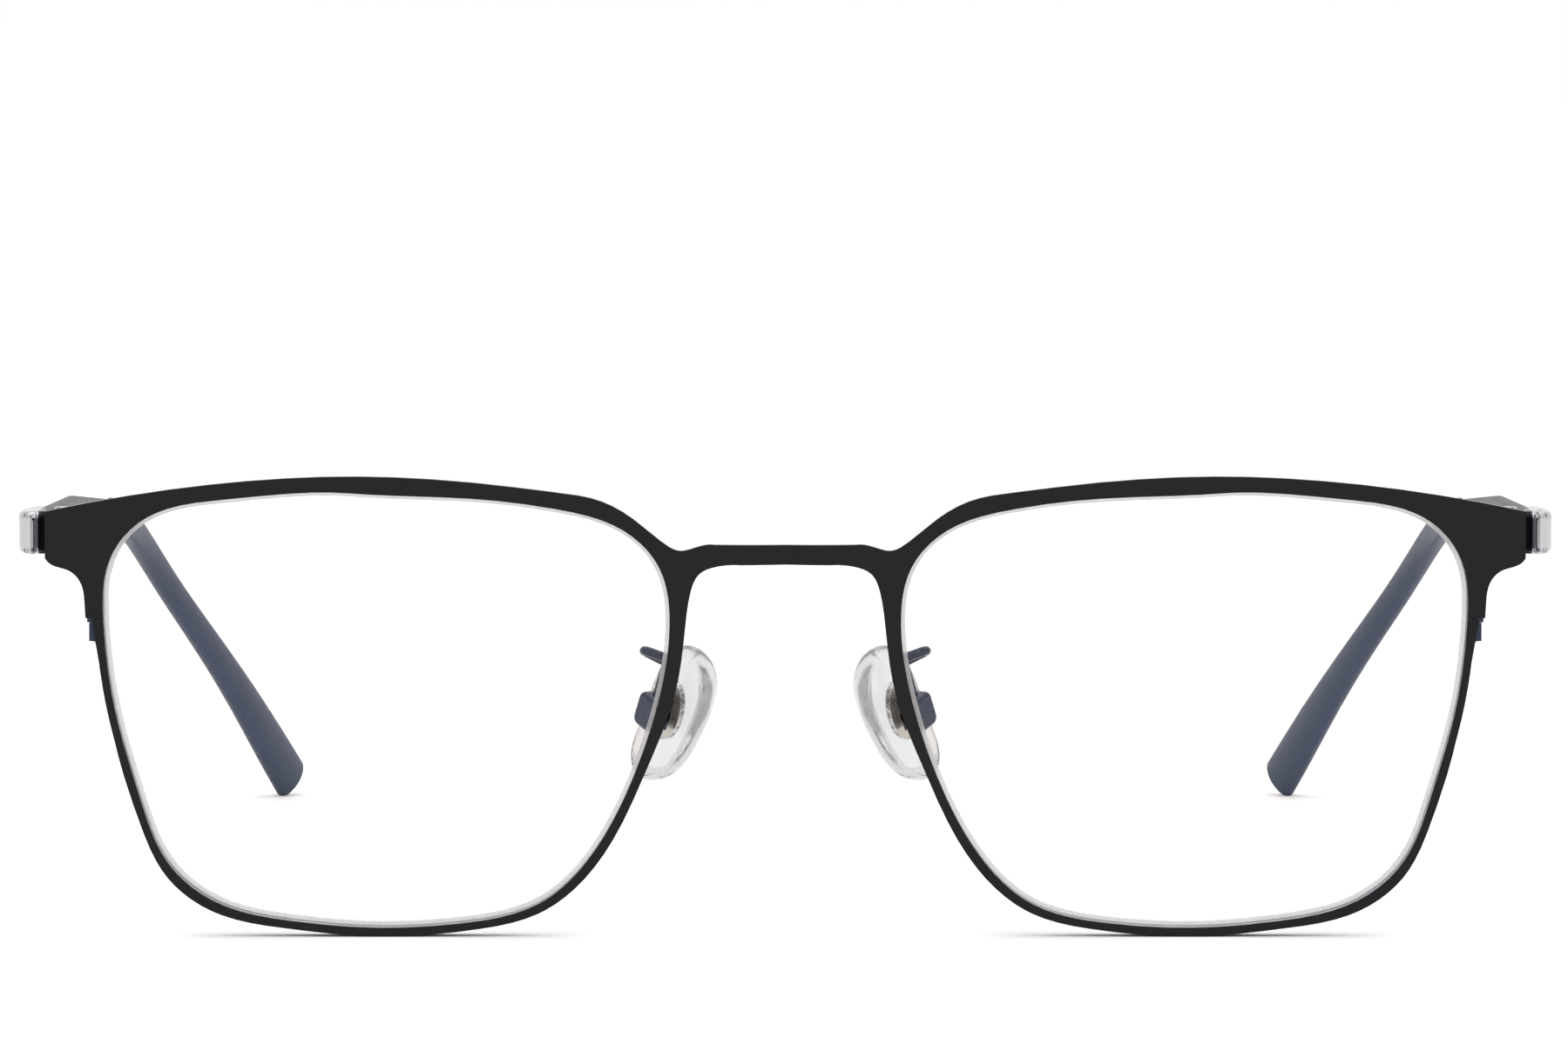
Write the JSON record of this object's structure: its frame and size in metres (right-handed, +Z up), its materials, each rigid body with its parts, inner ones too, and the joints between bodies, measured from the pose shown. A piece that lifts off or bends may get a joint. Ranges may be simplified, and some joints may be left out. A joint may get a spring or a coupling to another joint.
{
  "type": "browline glasses",
  "caption": "Metal browline glasses with clear, gently curved lenses, folding temples, sleeved ear tips and adjustable clear nose pads.",
  "frame": {"origin": "on the table, midway between the temples and midway between the front and the tip ends", "axes": "+X to the wearer's left across the front, +Y from the front back to the tips, +Z up"},
  "size_m": [0.1416, 0.1368, 0.0426],
  "materials": {
    "front_metal": "satin black cut sheet",
    "rim_metal": "satin navy",
    "gunmetal": "glossy gunmetal",
    "screw_metal": "bright steel",
    "lens_plastic": "clear with a faint warm tint",
    "tip_sleeve": "glossy slate blue",
    "pad_insert": "satin beige silver",
    "silicone": "clear moulded silicone"
  },
  "bodies": {
    "front": {"front_plate": "front_metal", "eyewire_left": "rim_metal", "lens_left": "lens_plastic", "closing_block_upper_left": "rim_metal", "closing_block_lower_left": "rim_metal", "rim_lock_screw_left": "screw_metal", "endpiece_lug_left": "gunmetal", "front_hinge_left": "rim_metal", "hinge_screw_left": "screw_metal", "pad_arm_left": "rim_metal", "pad_box_left": "rim_metal", "pad_screw_left": "screw_metal", "eyewire_right": "rim_metal", "lens_right": "lens_plastic", "closing_block_upper_right": "rim_metal", "closing_block_lower_right": "rim_metal", "rim_lock_screw_right": "screw_metal", "endpiece_lug_right": "gunmetal", "front_hinge_right": "rim_metal", "hinge_screw_right": "screw_metal", "pad_arm_right": "rim_metal", "pad_box_right": "rim_metal", "pad_screw_right": "screw_metal"},
    "temple_left": {"temple_hinge_left": "rim_metal", "temple_arm_left": "gunmetal", "temple_tip_left": "tip_sleeve"},
    "pad_left": {"pad_insert_left": "pad_insert", "nose_pad_left": "silicone"},
    "temple_right": {"temple_hinge_right": "rim_metal", "temple_arm_right": "gunmetal", "temple_tip_right": "tip_sleeve"},
    "pad_right": {"pad_insert_right": "pad_insert", "nose_pad_right": "silicone"}
  },
  "joints": [
    {"name": "temple_left_fold", "type": "hinge", "parent": "front", "child": "temple_left", "pos_m": [0.0672, -0.0573, 0.0373], "axis": [0, 0, 1], "range_deg": [0, 84]},
    {"name": "temple_right_fold", "type": "hinge", "parent": "front", "child": "temple_right", "pos_m": [-0.0672, -0.0573, 0.0373], "axis": [0, 0, -1], "range_deg": [0, 73]},
    {"name": "pad_left_rock", "type": "hinge", "parent": "front", "child": "pad_left", "pos_m": [0.01206, -0.058, 0.0202], "axis": [0.5872, 0.6998, 0.4067], "range_deg": [-8, 8]},
    {"name": "pad_right_rock", "type": "hinge", "parent": "front", "child": "pad_right", "pos_m": [-0.01206, -0.058, 0.0202], "axis": [0.5872, -0.6998, -0.4067], "range_deg": [-8, 8]}
  ]
}
